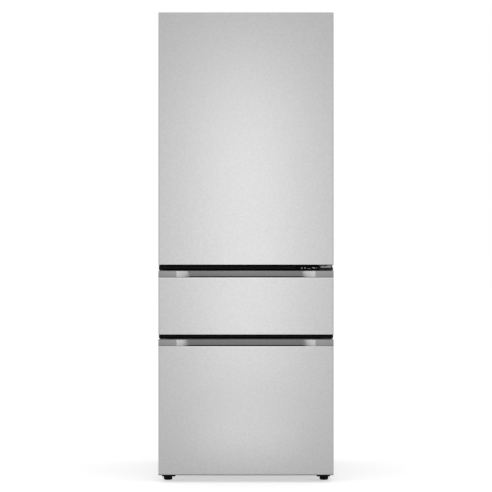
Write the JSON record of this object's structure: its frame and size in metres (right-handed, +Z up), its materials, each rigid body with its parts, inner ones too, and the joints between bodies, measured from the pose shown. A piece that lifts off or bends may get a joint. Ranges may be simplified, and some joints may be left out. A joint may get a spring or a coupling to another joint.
{
  "type": "kimchi refrigerator",
  "caption": "Free-standing kimchi refrigerator with a hinged upper door over pull-out drawers, steel fronts, full-width metal handles and a black control strip.",
  "frame": {"origin": "on the floor, under the middle of the box that holds the whole appliance", "axes": "+Z up, the doors face -Y, +X to the right of someone who looks at the doors"},
  "size_m": [0.666, 0.737, 1.787],
  "materials": {
    "front_steel": "fine satin stainless steel",
    "handle_metal": "satin metal strip",
    "painted_steel": "light grey paint, satin",
    "zinc_steel": "galvanised",
    "slide_steel": "zinc plated, bright",
    "black_plastic": "fine grain",
    "window_plastic": "dark clear plastic",
    "white_lining": "moulded, semi-gloss",
    "grey_plastic": "moulded",
    "shelf_glass": "tempered plate with a moulded edge",
    "container_plastic": "translucent grey",
    "lid_plastic": "grey",
    "seal_rubber": "soft grey",
    "insulation": null,
    "compressor_paint": "black enamel",
    "coil_metal": "mill finish"
  },
  "bodies": {
    "cabinet": {"outer_case": "painted_steel", "back_panel": "zinc_steel", "cabinet_foam": "insulation", "upper_liner": "white_lining", "middle_liner": "white_lining", "lower_liner": "white_lining", "bottom_deck": "zinc_steel", "compressor": "compressor_paint", "condenser": "coil_metal", "drip_tray": "grey_plastic", "machine_cover": "zinc_steel", "board_cover": "grey_plastic", "machine_base": "zinc_steel", "duct_cover": "white_lining", "evaporator": "coil_metal", "shelf_1": "shelf_glass", "shelf_2": "shelf_glass", "control_housing": "black_plastic", "display_window": "window_plastic", "lower_trim": "black_plastic", "top_hinge": "zinc_steel", "hinge_cover": "grey_plastic", "middle_hinge": "zinc_steel", "middle_slide_left": "slide_steel", "middle_slide_right": "slide_steel", "lower_slide_left": "slide_steel", "lower_slide_right": "slide_steel"},
    "upper_door": {"upper_door_skin": "front_steel", "upper_door_liner": "white_lining", "upper_door_top_cap": "grey_plastic", "upper_door_bottom_cap": "black_plastic", "upper_door_seal": "seal_rubber"},
    "condenser_fan": {"condenser_fan": "black_plastic"},
    "evaporator_fan": {"evaporator_fan": "black_plastic"},
    "foot_left": {"foot_left": "black_plastic"},
    "foot_right": {"foot_right": "black_plastic"},
    "roller_left": {"roller_left": "black_plastic"},
    "roller_right": {"roller_right": "black_plastic"},
    "middle_drawer": {"middle_drawer_skin": "front_steel", "middle_drawer_liner": "white_lining", "middle_grip_cap": "black_plastic", "middle_handle": "handle_metal", "middle_drawer_seal": "seal_rubber", "middle_cradle": "zinc_steel", "middle_container_left": "container_plastic", "middle_container_right": "container_plastic", "middle_lid_left": "lid_plastic", "middle_lid_right": "lid_plastic"},
    "middle_slide_carrier": {"middle_slide_carrier": "slide_steel"},
    "lower_drawer": {"lower_drawer_skin": "front_steel", "lower_drawer_liner": "white_lining", "lower_grip_cap": "black_plastic", "lower_handle": "handle_metal", "lower_drawer_seal": "seal_rubber", "lower_cradle": "zinc_steel", "lower_container_left": "container_plastic", "lower_container_right": "container_plastic", "lower_lid_left": "lid_plastic", "lower_lid_right": "lid_plastic"},
    "lower_slide_carrier": {"lower_slide_carrier": "slide_steel"}
  },
  "joints": [
    {"name": "upper_door_hinge", "type": "hinge", "parent": "cabinet", "child": "upper_door", "pos_m": [0.314, -0.339, 1.3], "axis": [0, 0, 1], "range_deg": [0, 110]},
    {"name": "middle_drawer_slide", "type": "slide", "parent": "cabinet", "child": "middle_drawer", "axis": [0, -1, 0], "range_m": [0, 0.4]},
    {"name": "middle_carrier_slide", "type": "slide", "parent": "cabinet", "child": "middle_slide_carrier", "axis": [0, -1, 0], "range_m": [0, 0.2]},
    {"name": "lower_drawer_slide", "type": "slide", "parent": "cabinet", "child": "lower_drawer", "axis": [0, -1, 0], "range_m": [0, 0.4]},
    {"name": "lower_carrier_slide", "type": "slide", "parent": "cabinet", "child": "lower_slide_carrier", "axis": [0, -1, 0], "range_m": [0, 0.2]},
    {"name": "foot_left_screw", "type": "slide", "parent": "cabinet", "child": "foot_left", "axis": [0, 0, -1], "range_m": [0, 0.012]},
    {"name": "roller_left_spin", "type": "hinge", "parent": "cabinet", "child": "roller_left", "pos_m": [-0.27, 0.306, 0.02], "axis": [1, 0, 0], "continuous": true},
    {"name": "foot_right_screw", "type": "slide", "parent": "cabinet", "child": "foot_right", "axis": [0, 0, -1], "range_m": [0, 0.012]},
    {"name": "roller_right_spin", "type": "hinge", "parent": "cabinet", "child": "roller_right", "pos_m": [0.27, 0.306, 0.02], "axis": [1, 0, 0], "continuous": true},
    {"name": "condenser_fan_spin", "type": "hinge", "parent": "cabinet", "child": "condenser_fan", "pos_m": [0.044, 0.26035, 0.134], "axis": [1, 0, 0], "continuous": true},
    {"name": "evaporator_fan_spin", "type": "hinge", "parent": "cabinet", "child": "evaporator_fan", "pos_m": [0, 0.2624, 1.3745], "axis": [0, 1, 0], "continuous": true}
  ],
  "couplings": [
    {"joint": "middle_carrier_slide", "follows": "middle_drawer_slide", "ratio": 0.5},
    {"joint": "lower_carrier_slide", "follows": "lower_drawer_slide", "ratio": 0.5}
  ]
}
